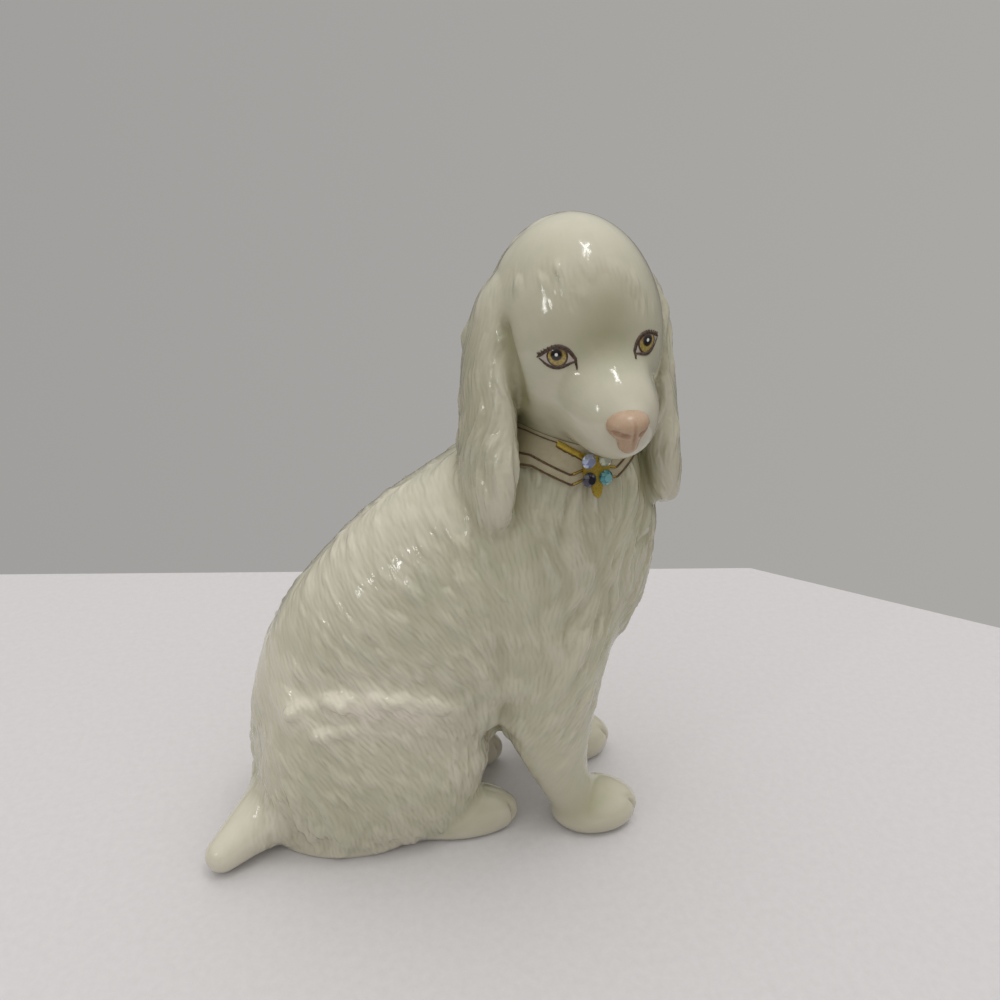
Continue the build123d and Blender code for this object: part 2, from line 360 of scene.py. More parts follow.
def middle(node):
    low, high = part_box(node)
    return (np.array(low) + np.array(high)) / (2 * MM)


# Head axes: forward, left and up, taken from the eyes of the frame.
HEAD_BOW = math.radians(5.0)
EYE_AHEAD = 17.4
EYE_RISE = 2.7
left_axis = unit(middle("left_eye_enamel") - middle("right_eye_enamel"))
level_up = np.array((0.0, 0.0, 1.0))
level_up = unit(level_up - left_axis * left_axis[2])
level_front = np.cross(left_axis, level_up)
front_axis = math.cos(HEAD_BOW) * level_front - math.sin(HEAD_BOW) * level_up
up_axis = np.cross(front_axis, left_axis)
head_axes = np.array((front_axis, left_axis, up_axis))
eyes_middle = (middle("left_eye_enamel") + middle("right_eye_enamel")) / 2
head_centre = eyes_middle - EYE_AHEAD * front_axis - EYE_RISE * up_axis


# Faint toes: grooves down the front of each foot, given by their places across it.
TOE_GROOVE_SHARES = (-0.32, 0.28)
TOE_GROOVE = (2.2, 0.45, 2.4)
TOE_BORDER = 1.1
TOE_RISE = 4.6
TOE_INSET = 0.6
TOE_CURVE = 3.0
for name in ("right_foreleg", "left_foreleg", "right_hind_foot", "left_hind_foot"):
    low, high = (np.array(corner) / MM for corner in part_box(name))
    for share in TOE_GROOVE_SHARES:
        across = (low[1] + high[1]) / 2 + share * (high[1] - low[1]) / 2
        centre = np.array((high[0] - TOE_INSET - TOE_CURVE * abs(share), across, TOE_RISE))
        press(clay, centre, np.eye(3), TOE_GROOVE, TOE_BORDER, False)

for name in ("right_ear", "left_ear"):
    clay = smooth_union(clay, softened(fields[name], EAR_SOFTENING), EAR_REACH)


def head_mirrored(place):
    """The same place on the other side of the head."""
    return head_centre + ((place - head_centre) @ head_axes.T * (1.0, -1.0, 1.0)) @ head_axes


edge_marks = np.array(EAR_EDGE, float)
edge_steps = np.linspace(0, len(EAR_EDGE) - 1, EDGE_STATIONS)
edge_places = []
for step in edge_steps:
    x, y = (np.interp(step, np.arange(len(EAR_EDGE)), edge_marks[:, axis]) for axis in range(2))
    place, normal = seen(x, y, cad_tree)
    centre = place + normal * (EDGE_FORM - EDGE_DEPTH)
    for spot in (centre, head_mirrored(centre)):
        press(clay, spot, np.eye(3), (EDGE_FORM,) * 3, EDGE_BORDER, False)
    edge_places += [place, head_mirrored(place)]

# The base is flat on the table, with the vent of the hollow casting in it.
VENT_PLACE = (-18.0, 0.0, 0.0)
VENT_FORM = (3.5, 3.5, 2.4)
VENT_BORDER = 0.5
clay = np.maximum(clay, -grid_axes[2].astype(np.float32)[None, None, :])
press(clay, np.array(VENT_PLACE), np.eye(3), VENT_FORM, VENT_BORDER, False)


def surface_of(values):
    points, quads = grid_of(values).convertToQuads(isovalue=0.0)
    return points.astype(float), quads.astype(np.int64)


def vertex_normals(points, quads):
    corner = points[quads]
    area = np.cross(corner[:, 2] - corner[:, 0], corner[:, 3] - corner[:, 1])
    total = np.zeros_like(points)
    for axis in range(3):
        for column in range(4):
            total[:, axis] += np.bincount(
                quads[:, column], weights=area[:, axis], minlength=len(points)
            )
    return unit(total)


def neighbour_mean(values, quads):
    """Mean of each vertex's neighbours along the quads' edges."""
    count = np.zeros(len(values))
    total = np.zeros_like(values)
    for column in range(4):
        ahead = quads[:, (column + 1) % 4]
        here = quads[:, column]
        count += np.bincount(here, minlength=len(values))
        for axis in range(values.shape[1]):
            total[:, axis] += np.bincount(
                here, weights=values[ahead, axis], minlength=len(values)
            )
    return total / np.maximum(count, 1)[:, None]


# Steps of the evening out: towards the neighbours, and a little further back.
RELAX_ROUNDS = 3
RELAX_IN = 0.55
RELAX_OUT = 0.57


def relaxed(points, quads, rounds):
    """Evens out the grid's steps without shrinking the form."""
    for _ in range(rounds):
        points = points + RELAX_IN * (neighbour_mean(points, quads) - points)
        points = points - RELAX_OUT * (neighbour_mean(points, quads) - points)
    return points


points, quads = surface_of(clay)
points = relaxed(points, quads, RELAX_ROUNDS)


def sampled(values, places):
    """Values of a grid at places, read between its points."""
    index = places / VOXEL - grid_low
    base = np.clip(np.floor(index).astype(int), 0, grid_size - 2)
    part = index - base
    total = np.zeros(len(places))
    for corner in range(8):
        step = np.array([(corner >> axis) & 1 for axis in range(3)])
        weight = np.prod(np.where(step, part, 1 - part), axis=1)
        at = base + step
        total += weight * values[at[:, 0], at[:, 1], at[:, 2]]
    return total


# Smoothing over the surface: shares kept and taken in a round, and rounds for each quantity.
SPREAD_KEPT = 0.4
SPREAD_TAKEN = 0.6
OWNER_ROUNDS = 10
EAR_ROUNDS = 14
COAT_ROUNDS = 12
THROAT_ROUNDS = 6
CHEST_ROUNDS = 10


def spread_over(values, rounds):
    """Values smoothed over the surface."""
    for _ in range(rounds):
        values = SPREAD_KEPT * values + SPREAD_TAKEN * neighbour_mean(values, quads)
    return values


def step_share(values, low, high):
    share = np.clip((values - low) / (high - low), 0, 1)
    return share * share * (3 - 2 * share)


distances = np.stack([sampled(fields[name], points) for name in CASTINGS], axis=1)
distances = spread_over(distances, OWNER_ROUNDS)
owner = distances.argmin(axis=1)
# Hollowness of the surface, which the glaze uses for painted shade in the hollows and painted light on the
# crests.
hollow = sampled(softened((clay < 0).astype(np.float32), HOLLOW_SPREAD), points)
normals = vertex_normals(points, quads)
clay_tree = BVHTree.FromPolygons(points.tolist(), quads.tolist())


def owned(*names):
    return np.isin(owner, [CASTINGS.index(name) for name in names])


# Coat: which way the hair runs, marked on the photograph and mirrored to the far side.
flow_places = []
flow_ways = []
for x, y, angle in FLOW_MARKS:
    place, normal = seen(x, y, clay_tree)
    ray = pixel_ray(x + math.cos(math.radians(angle)), y + math.sin(math.radians(angle)))
    reach = np.dot(place - CAMERA_PLACE, normal) / np.dot(ray, normal)
    way = unit(CAMERA_PLACE + reach * ray - place)
    for mirror in BOTH_SIDES:
        flow_places.append(place * mirror)
        flow_ways.append(way * mirror)
flow_places = np.array(flow_places)
flow_ways = np.array(flow_ways)

head_local = (points - head_centre) @ head_axes.T
is_ear = owned("right_ear", "left_ear")
is_head = owned("head_casting")
is_leg = owned("right_foreleg", "left_foreleg")
is_foot = owned("right_hind_foot", "left_hind_foot")
is_tail = owned("tail")
ear_share = spread_over(is_ear[:, None].astype(float), EAR_ROUNDS)[:, 0]
ear_share *= step_share(-head_local[:, 2], *EAR_FADE)

flow = np.zeros_like(points)
for start in range(0, len(points), FLOW_CHUNK):
    part = slice(start, start + FLOW_CHUNK)
    gap = points[part, None, :] - flow_places[None, :, :]
    weight = np.exp(-(gap ** 2).sum(axis=2) / (2 * FLOW_SPREAD ** 2))
    flow[part] = weight @ flow_ways
flow += np.array((0.0, 0.0, -FLOW_FALL))
crown = unit(head_local * np.array(CROWN_STRETCH) - (0.0, 0.0, 1.0)) @ head_axes
flow[is_head] = crown[is_head]
flow[is_ear] = np.array((0.0, 0.0, -1.0))
flow -= normals * (flow * normals).sum(axis=1, keepdims=True)
flow = unit(flow)
chest = step_share(points[:, 0], *CHEST_AHEAD) * step_share(points[:, 2], *CHEST_RISE)
chest *= ~is_head & ~is_ear
wave = np.sin(points[:, 1] / WAVE_PITCH[1] + points[:, 0] / WAVE_PITCH[2])
wave = np.sin(points[:, 2] / WAVE_PITCH[0] + WAVE_TURN * wave)
sway = (WAVE_SWAY * np.maximum(chest, is_ear) * wave)[:, None]
flow = unit(flow + sway * np.cross(normals, flow))

# How strongly the hair is carved on each part: shares, and the places over which they change.
BACK_WAY = (0.6, 0.8)
BACK_TURN = (0.3, 0.8)
BACK_RISE = (26.0, 44.0)
BACK_LOSS = 0.6
LEG_COAT = (0.2, 0.8)
LEG_RISE = (18.0, 36.0)
PAW_RISE = (9.0, 16.0)
FOOT_COAT = 0.06
TAIL_COAT = (0.12, 0.6)
TAIL_PLACE = (-42.0, -34.0)
FACE_PLACE = (-8.0, 2.0)
HEAD_COAT = (0.5, 0.05)
HEM_RISE = (0.2, 2.0)
THROAT_PLACE = (-12.0, 12.0)
coat = np.ones(len(points))
back = step_share(BACK_WAY[0] * normals[:, 2] - BACK_WAY[1] * normals[:, 0], *BACK_TURN)
back *= step_share(points[:, 2], *BACK_RISE)
coat *= 1 - BACK_LOSS * back
coat[is_leg] = (LEG_COAT[0] + LEG_COAT[1] * step_share(points[:, 2], *LEG_RISE))[is_leg]
coat[is_leg] *= step_share(points[:, 2], *PAW_RISE)[is_leg]
coat[is_foot] = FOOT_COAT
coat[is_tail] = TAIL_COAT[0] + TAIL_COAT[1] * step_share(points[:, 0], *TAIL_PLACE)[is_tail]
face = step_share(head_local[:, 0], *FACE_PLACE)
coat[is_head] = (HEAD_COAT[0] * (1 - face) + HEAD_COAT[1])[is_head]
coat = spread_over(coat[:, None], COAT_ROUNDS)[:, 0]
coat = coat * (1 - ear_share) + ear_share
coat *= step_share(points[:, 2], *HEM_RISE)
throat = is_head & (head_local[:, 2] < THROAT_PLACE[0]) & (head_local[:, 0] < THROAT_PLACE[1])
coat *= 1 - spread_over(throat[:, None].astype(float), THROAT_ROUNDS)[:, 0]
chest = spread_over(chest[:, None], CHEST_ROUNDS)[:, 0]

for x, y in FRINGE:
    place, normal = seen(x, y, clay_tree)
    gap = ((points - place) ** 2).sum(axis=1) / (2 * FRINGE_REACH ** 2)
    coat = np.maximum(coat, FRINGE_COAT * np.exp(-gap) * is_head)
# Painted shade on the ears, the chest and along the groove at the ear's front edge.
shade_and_light_paint = EAR_SHADE_PAINT * ear_share + CHEST_SHADE_AND_POOL * chest
edge_gap = np.min([((points - place) ** 2).sum(axis=1) for place in edge_places], axis=0)
shade_and_light_paint += EDGE_SHADE_PAINT[1] * np.exp(-edge_gap / (2 * EDGE_SHADE_PAINT[0] ** 2))
# Patches of painted shade, and of painted light where the strength is below zero.
for patches, mirrors in ((HEAD_SHADE_PATCHES, BOTH_SIDES[:1]), (BODY_SHADE_AND_LIGHT_PATCHES, BOTH_SIDES)):
    for x, y, reach, amount in patches:
        place, normal = seen(x, y, clay_tree)
        for mirror in mirrors:
            gap = ((points - place * mirror) ** 2).sum(axis=1) / (2 * reach ** 2)
            shade_and_light_paint += amount * np.exp(-gap)


def voxel_of(places):
    index = np.rint(places / VOXEL - grid_low).astype(int)
    return tuple(np.clip(index, 0, grid_size - 1).T)


def to_grid(vectors):
    """Vectors at the surface's points, spread over the grid beside them."""
    cells = np.ravel_multi_index(voxel_of(points), grid_size)
    blocks = []
    for axis in range(3):
        block = np.bincount(cells, weights=vectors[:, axis], minlength=int(np.prod(grid_size)))
        blocks.append(softened(block.reshape(grid_size).astype(np.float32), 2 * VOXEL))
    return blocks


flow_grid = to_grid(flow)
lift_grid = to_grid(normals)


def carved(width, half_length, stretch):
    """Hair strokes: noise of the given width drawn out along the flow over the surface."""
    noise = softened(rng.normal(size=grid_size).astype(np.float32), width)
    total = sampled(noise, points)
    for sign in (-1, 1):
        place = points.copy()
        steps = int(half_length / STROKE_STEP)
        for step in range(1, steps + 1):
            cell = voxel_of(place)
            way = unit(np.stack([block[cell] for block in flow_grid], axis=1))
            lift = unit(np.stack([block[cell] for block in lift_grid], axis=1))
            place = place + sign * STROKE_STEP * (1 + stretch)[:, None] * way
            place -= lift * np.clip(clay[voxel_of(place)], -1, 1)[:, None]
            total += math.cos(step / steps * math.pi / 2) ** 2 * sampled(noise, place)
    return total / total.std()


# Stroke profiles: shares of the plain wave and of its ridges, and the ridges' middle.
STROKE_STRETCH = 0.6
FINE_PROFILE = (0.6, 0.9, 0.8)
BROAD_PROFILE = (0.45, 0.9, 0.8)
CHEST_DEPTH = 0.7
POOL_AND_SHADE_FINE = 0.5


def profiled(wave, profile):
    return profile[0] * wave + profile[1] * (np.abs(wave) - profile[2])


stretch = STROKE_STRETCH * np.maximum(chest, ear_share)
fine = carved(FINE_STROKE[0], FINE_STROKE[1], stretch)
broad = carved(BROAD_STROKE[0], BROAD_STROKE[1], stretch)
fine_lift = profiled(fine, FINE_PROFILE)
broad_lift = profiled(broad, BROAD_PROFILE)
strength = coat * (1 + CHEST_DEPTH * chest)
fine_depth = FINE_STROKE[2] * (1 + EAR_FINE * ear_share)
broad_depth = BROAD_STROKE[2] * (1 + EAR_BROAD * ear_share)
height = strength * (fine_depth * fine_lift + broad_depth * broad_lift)
comb = unit(np.cross(normals, flow))
points = points + normals * height[:, None]
points[:, 2] = np.maximum(points[:, 2], 0.0)
normals = vertex_normals(points, quads)
# Darkness for the carved grooves: painted shade in them, partly pooled glaze.
pool_and_shade = strength * (POOL_AND_SHADE_FINE * fine_lift + broad_lift)


def link(name, mesh, materials):
    mesh.polygons.foreach_set("use_smooth", [True] * len(mesh.polygons))
    for material in materials:
        mesh.materials.append(material)
    piece = bpy.data.objects.new(name, mesh)
    bpy.context.scene.collection.objects.link(piece)
    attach(piece, "root")
    return piece


def open_edges(faces):
    """The edges that only one face of a patch has."""
    edges = np.concatenate([faces[:, [i, (i + 1) % 4]] for i in range(4)])
    keys = edges[:, 0] * len(points) + edges[:, 1]
    back_keys = edges[:, 1] * len(points) + edges[:, 0]
    return edges[~np.isin(keys, back_keys)]


def loops_of(edges):
    """A number for each open edge that says which loop it belongs to."""
    ends, index = np.unique(edges, return_inverse=True)
    index = index.reshape(-1, 2)
    group = np.arange(len(ends))
    while True:
        low = np.minimum(group[index[:, 0]], group[index[:, 1]])
        new = group.copy()
        np.minimum.at(new, index[:, 0], low)
        np.minimum.at(new, index[:, 1], low)
        new = new[new]
        if (new == group).all():
            break
        group = new
    return group[index[:, 0]]


face_owner = distances[quads].mean(axis=1).argmin(axis=1)


def casting_piece(name, material):
    """One casting's share of the clay, closed inside where it meets its neighbours."""
    faces = quads[face_owner == CASTINGS.index(name)]
    rim = open_edges(faces)
    group = loops_of(rim)
    kept = np.unique(faces)
    lookup = np.full(len(points), -1)
    lookup[kept] = np.arange(len(kept))
    places = [points[kept]]
    shapes = lookup[faces].tolist()
    outward = [normals[kept]]
    count = len(kept)
    for loop in np.unique(group):
        ring = rim[group == loop]
        ends, index = np.unique(ring, return_inverse=True)
        index = index.reshape(-1, 2) + count
        inner = points[ends] - CAP_DEPTH * normals[ends]
        places += [inner, inner.mean(axis=0, keepdims=True)]
        outward += [normals[ends], unit(normals[ends].mean(axis=0, keepdims=True))]
        last = count + len(ends)
        for (a, b), (c, d) in zip(lookup[ring], index):
            shapes += [[b, a, c, d], [d, c, last]]
        count = last + 1
    mesh = bpy.data.meshes.new(name)
    mesh.from_pydata((np.concatenate(places) * MM).tolist(), [], shapes)
    piece = link("glazed_" + name, mesh, [material])
    mesh.normals_split_custom_set_from_vertices(np.concatenate(outward).tolist())
    extra = np.zeros(len(mesh.vertices) - len(kept))
    for label, values in (("pool_and_shade", pool_and_shade), ("hollow", hollow), ("coat", coat), ("shade_and_light_paint", shade_and_light_paint)):
        layer = mesh.attributes.new(label, "FLOAT", "POINT")
        layer.data.foreach_set("value", np.append(values[kept], extra).astype(np.float32))
    layer = mesh.attributes.new("comb", "FLOAT_VECTOR", "POINT")
    vectors = np.concatenate((comb[kept], np.zeros((len(extra), 3))))
    layer.data.foreach_set("vector", vectors.ravel().astype(np.float32))
    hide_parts(name)
    return piece


# Materials.
def srgb(red, green, blue):
    """A colour as named on screen, 0 to 255, in the linear values that shaders take."""
    linear = [((c / 255 + 0.055) / 1.055) ** 2.4 for c in (red, green, blue)]
    return (*linear, 1.0)


class Shader:
    """A material and its nodes, with short ways to add and join them."""

    def __init__(self, name):
        self.material = bpy.data.materials.new(name)
        self.material.use_nodes = True
        self.tree = self.material.node_tree
        self.surface = self.tree.nodes["Principled BSDF"]

    def set(self, **values):
        for label, value in values.items():
            self.surface.inputs[label.replace("_", " ")].default_value = value

    def add(self, kind, links=(), **settings):
        node = self.tree.nodes.new("ShaderNode" + kind)
        for label, value in settings.items():
            setattr(node, label, value)
        for socket, value in dict(links).items():
            if isinstance(value, bpy.types.NodeSocket):
                self.tree.links.new(value, node.inputs[socket])
            else:
                node.inputs[socket].default_value = value
        return node

    def join(self, output, label):
        self.tree.links.new(output, self.surface.inputs[label])

    def place(self):
        return self.add("TexCoord").outputs["Object"]

    def noise(self, scale, detail=3.0, rough=0.5):
        links = {"Vector": self.place(), "Scale": scale, "Detail": detail, "Roughness": rough}
        return self.add("TexNoise", links).outputs["Fac"]

    def attribute(self, name, output="Fac"):
        return self.add("Attribute", attribute_name=name).outputs[output]

    def spread(self, value, low, high, to_low=0.0, to_high=1.0):
        """A value moved from one range to another, held at its ends."""
        links = {0: value, 1: low, 2: high, 3: to_low, 4: to_high}
        return self.add("MapRange", links).outputs["Result"]

    def mix(self, share, first, second):
        return self.add("Mix", {0: share, 6: first, 7: second}, data_type="RGBA").outputs[2]

    def math(self, operation, first, second=0.0):
        return self.add("Math", {0: first, 1: second}, operation=operation).outputs[0]

    def bump(self, height, strength, distance):
        links = {"Height": height, "Strength": strength, "Distance": distance * MM}
        self.join(self.add("Bump", links).outputs["Normal"], "Normal")


# Finest hairs, in the glaze's own bump: scale of the cells per metre, waves in each, and depth.
HAIR_CELLS = 430.0
HAIR_WAVES = 1.9
HAIR_DEPTH = 0.17


def glaze_material():
    """Ivory glaze with painted shade and light: olive painted shade in the hollows and grooves, partly
    pooled glaze, and paler painted light on the crests.
    """
    s = Shader("ivory_glaze")
    links = {0: s.place(), 1: HAIR_CELLS, 2: HAIR_WAVES, 3: 1.0, 5: s.attribute("comb", "Vector")}
    hair = s.add("TexGabor", links, gabor_type="3D").outputs["Value"]
    hair = s.math("SUBTRACT", hair, 0.5)
    hair = s.math("MULTIPLY", hair, s.attribute("coat"))
    cloud = s.noise(70.0, 3.0, 0.55)
    tone = s.mix(s.spread(cloud, 0.35, 0.68), srgb(203, 197, 177), srgb(193, 190, 166))
    tone = s.mix(s.spread(s.noise(190.0, 2.0, 0.5), 0.45, 0.70, 0.0, 0.6), tone, srgb(186, 186, 164))
    # Painted shade: olive in the hollows, partly pooled glaze.
    tone = s.mix(s.spread(s.attribute("hollow"), 0.51, 0.70), tone, srgb(146, 142, 108))
    # Painted shade in olive where the value is above zero, painted light in pale ivory where it is below.
    tone = s.mix(s.spread(s.attribute("shade_and_light_paint"), 0.0, 1.0), tone, srgb(150, 146, 112))
    tone = s.mix(s.spread(s.attribute("shade_and_light_paint"), 0.0, -1.0), tone, srgb(228, 221, 205))
    # Painted shade in olive in the carved grooves, partly pooled glaze.
    tone = s.mix(s.spread(s.attribute("pool_and_shade"), 0.2, -1.6, 0.0, 0.42), tone, srgb(160, 156, 124))
    # Painted shade in olive in the troughs of the finest hair.
    tone = s.mix(s.spread(hair, 0.05, -0.35, 0.0, 0.42), tone, srgb(158, 153, 122))
    # Painted light: paler on the convex crests.
    tone = s.mix(s.spread(s.attribute("hollow"), 0.47, 0.38, 0.0, 0.5), tone, srgb(208, 202, 184))
    s.join(tone, "Base Color")
    s.join(s.spread(s.noise(260.0), 0.3, 0.7, 0.08, 0.16), "Roughness")
    grain = s.math("MULTIPLY", s.noise(900.0, 4.0, 0.6), 0.12)
    s.bump(s.math("ADD", hair, grain), 1.0, HAIR_DEPTH)
    s.set(IOR=1.5, Coat_Weight=0.25, Coat_Roughness=0.03)
    return s.material


glaze = glaze_material()
for name in CASTINGS:
    casting_piece(name, glaze)


def closed_strip(rows, lift):
    """A sheet given as rows of points, thickened to a closed solid by a drop along the lift."""
    rows = np.asarray(rows)
    count, width = rows.shape[:2]
    top = rows.reshape(-1, 3)
    bottom = (rows - lift).reshape(-1, 3)
    total = count * width
    faces = []
    for i in range(count - 1):
        for j in range(width - 1):
            a, b = i * width + j, i * width + j + 1
            c, d = b + width, a + width
            faces.append([a, b, c, d])
            faces.append([total + d, total + c, total + b, total + a])
    rim = [j for j in range(width)]
    rim += [i * width + width - 1 for i in range(1, count)]
    rim += [(count - 1) * width + j for j in range(width - 2, -1, -1)]
    rim += [i * width for i in range(count - 2, 0, -1)]
    for a, b in zip(rim, rim[1:] + rim[:1]):
        faces.append([b, a, total + a, total + b])
    return np.concatenate((top, bottom)), faces


class Builder:
    """Collects closed forms with material numbers into one mesh."""

    def __init__(self):
        self.places = []
        self.faces = []
        self.slots = []
        self.count = 0

    def add(self, places, faces, slot):
        self.places.append(np.asarray(places))
        self.faces += [[corner + self.count for corner in face] for face in faces]
        self.slots += [slot] * len(faces) if isinstance(slot, int) else list(slot)
        self.count += len(places)

    def piece(self, name, node, materials, slot):
        mesh = bpy.data.meshes.new(name)
        mesh.from_pydata((np.concatenate(self.places) * MM).tolist(), [], self.faces)
        piece = link(name, mesh, materials)
        mesh.polygons.foreach_set("material_index", self.slots)
        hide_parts(node)
        return piece


# Eyes: painted almonds with dark lids and lashes, laid on the face.
EYE_MARKS = {
    "right": {"outer": (539.0, 357.0), "inner": (575.0, 362.5)},
    "left": {"outer": (656.5, 336.5), "inner": (636.0, 354.5)},
}
# Lid lines: share of the way from the inner corner at -1 to the outer at 1, and height.
UPPER_LID = [
    (-1.0, 0.42), (-0.77, 1.46), (-0.45, 2.30), (-0.10, 2.55), (0.27, 2.14), (0.69, 1.12), (1.0, 0.04),
]
LOWER_LID = [
    (-1.0, 0.36), (-0.68, -0.30), (-0.42, -0.92), (-0.10, -1.34), (0.24, -1.38), (0.60, -0.96),
    (0.82, -0.38), (1.0, 0.0),
]
EYE_STATIONS = 41
EYE_LAYERS = 15
EYE_BULGE = 0.30
EYE_LIFT = 0.10
EYE_THICKNESS = 0.4
EYE_CLEAR = 5.0
LID_SMOOTHING = 0.16
STROKE_HEIGHTS = (0.05, 0.16, 0.05)
STROKE_THICKNESS = 0.3
LASH_WIDTHS = (0.40, 0.33, 0.24, 0.10)
LASH_STEPS = (0.0, 0.35, 0.7, 1.0)
IRIS_PLACE = (-0.10, 0.78)
IRIS_STRETCH = {-1: 1.0, 1: 0.76}
TAIL_DROP = {-1: 1.0, 1: 0.45}
LASH_SHARES = (0.99, 0.91, 0.80, 0.66, 0.49, 0.30, 0.12)


def lid_line(share, upper):
    """Height of a lid above the line between the corners."""
    marks = np.array(UPPER_LID if upper else LOWER_LID)
    near = share + np.linspace(-LID_SMOOTHING, LID_SMOOTHING, 9)
    return np.interp(near, marks[:, 0], marks[:, 1]).mean()


def eye_piece(name, side):
    ends = {}
    for corner, (x, y) in EYE_MARKS[name.split("_")[0]].items():
        ends[corner], normal = seen(x, y, clay_tree)
    outer, inner = ends["outer"], ends["inner"]
    centre = (outer + inner) / 2
    near, lift, face, gap = clay_tree.find_nearest(Vector(centre))
    lift = np.array(lift)
    ahead = unit(outer - inner)
    lift = unit(lift - ahead * np.dot(lift, ahead))
    rise = np.cross(lift, ahead)
    rise = rise if np.dot(rise, up_axis) > 0 else -rise
    half = np.linalg.norm(outer - inner) / 2

    def laid(along, up, height):
        start = centre + along * ahead + up * rise + EYE_CLEAR * lift
        hit, normal, face, depth = clay_tree.ray_cast(Vector(start), Vector(-lift))
        return np.array(hit) + lift * height

    def order(rows):
        return rows if side < 0 else [row[::-1] for row in rows]

    builder = Builder()
    rows = []
    paint = []
    for share in np.linspace(-1, 1, EYE_STATIONS):
        row = []
        for layer in np.linspace(0, 1, EYE_LAYERS):
            low, high = lid_line(share, False), lid_line(share, True)
            up = low + (high - low) * layer
            dome = EYE_BULGE * (1 - share * share) * 4 * layer * (1 - layer)
            row.append(laid(share * half, up, EYE_LIFT + dome))
            along = IRIS_STRETCH[side] * (share * half - IRIS_PLACE[0])
            paint.append((along, up - IRIS_PLACE[1], share))
        rows.append(row)
    if side > 0:
        paint = np.array(paint).reshape(EYE_STATIONS, EYE_LAYERS, 3)[:, ::-1].reshape(-1, 3)
    places, faces = closed_strip(order(rows), EYE_THICKNESS * lift)
    builder.add(places, faces, 0)

    def stroke(line, widths):
        """A painted stroke along points of the eye's plane."""
        line = np.asarray(line, float)
        way = unit(np.gradient(line, axis=0))
        aside = np.stack((-way[:, 1], way[:, 0]), axis=1)
        rows = []
        for spot, turn, width in zip(line, aside, widths):
            edges = [spot + turn * width * k / 2 for k in (-1, 0, 1)]
            rows.append([laid(*edge, EYE_LIFT + h) for edge, h in zip(edges, STROKE_HEIGHTS)])
        places, faces = closed_strip(order(rows), STROKE_THICKNESS * lift)
        builder.add(places, faces, 1)

    shares = np.linspace(-1, 1, 33)
    upper = [(share * half, lid_line(share, True) + 0.12) for share in shares]
    drop = TAIL_DROP[side]
    tail = [(-1.17 * half, -1.25 * drop), (-1.13 * half, -0.70 * drop), (-1.07 * half, -0.15 * drop)]
    widths = [0.16, 0.34, 0.44] + [0.52 + 0.42 * max(0.0, 1 - share * share) ** 0.5 for share in shares]
    stroke(tail + upper + [(half + 0.45, -0.10)], widths + [0.20])
    lower = [(share * half, lid_line(share, False) - 0.10) for share in shares]
    stroke(lower, [0.24 + 0.50 * max(0.0, 1 - share * share) for share in shares])
    for share in LASH_SHARES:
        root = np.array((share * half, lid_line(share, True) + 0.2))
        way = unit(np.array((0.15 + 0.75 * share, 1.0 - 0.35 * share)))
        length = 0.45 + 0.22 * share
        line = [root + way * length * t for t in LASH_STEPS]
        stroke(line, LASH_WIDTHS)
    node = name.replace("_painted_eye", "_eye_enamel")
    piece = builder.piece(name, node, [eye_paint, lash_paint], "eye_enamel")
    layer = piece.data.attributes.new("eye_place", "FLOAT_VECTOR", "POINT")
    values = np.zeros((len(piece.data.vertices), 3), np.float32)
    values[: len(paint)] = paint
    values[len(paint) : 2 * len(paint)] = paint
    layer.data.foreach_set("vector", values.ravel())
    return piece


# Rings of the painted eye, as distances from the iris's and the pupil's centres.
IRIS_RADIUS = 1.80
IRIS_RIM = 2.16
PUPIL_RADIUS = 1.06
PUPIL_SHADE = 1.28
PUPIL_PLACE = (0.16, 0.34, 0.0)
CATCHLIGHT_RADIUS = 0.36
PAINT_EDGE = 0.10


def eye_material():
    """Amber iris with a dark rim and pupil on a pale ground, with a painted highlight dot for the
    catch-light.
    """
    s = Shader("eye_paint")
    place = s.add("SeparateXYZ", {0: s.attribute("eye_place", "Vector")})
    flat = s.add("CombineXYZ", {0: place.outputs[0], 1: place.outputs[1], 2: 0.0}).outputs[0]
    far = s.add("VectorMath", {0: flat}, operation="LENGTH").outputs["Value"]
    dot = s.add("VectorMath", {0: flat, 1: PUPIL_PLACE}, operation="DISTANCE").outputs["Value"]
    grain = s.noise(2600.0, 3.0, 0.6)
    amber = s.mix(s.spread(grain, 0.35, 0.65), srgb(134, 114, 50), srgb(186, 164, 90))
    # Painted shade: the iris darkens towards its top, under the upper lid.
    amber = s.mix(s.spread(place.outputs[1], 0.0, 1.5, 0.0, 0.85), amber, srgb(76, 56, 32))
    white = s.mix(grain, srgb(184, 176, 166), srgb(166, 152, 142))
    tone = s.mix(s.spread(far, IRIS_RADIUS - PAINT_EDGE, IRIS_RADIUS), amber, srgb(66, 46, 30))
    tone = s.mix(s.spread(far, IRIS_RIM - PAINT_EDGE, IRIS_RIM), tone, white)
    tone = s.mix(s.spread(dot, PUPIL_SHADE, PUPIL_RADIUS), tone, srgb(74, 54, 26))
    tone = s.mix(s.spread(dot, PUPIL_RADIUS, PUPIL_RADIUS - PAINT_EDGE), tone, srgb(18, 15, 13))
    # Painted highlight: a pale dot for the catch-light on the pupil.
    tone = s.mix(s.spread(dot, CATCHLIGHT_RADIUS, CATCHLIGHT_RADIUS - PAINT_EDGE), tone, srgb(226, 224, 222))
    s.join(tone, "Base Color")
    s.join(s.spread(grain, 0.3, 0.7, 0.08, 0.14), "Roughness")
    s.set(Coat_Weight=0.4, Coat_Roughness=0.03)
    return s.material


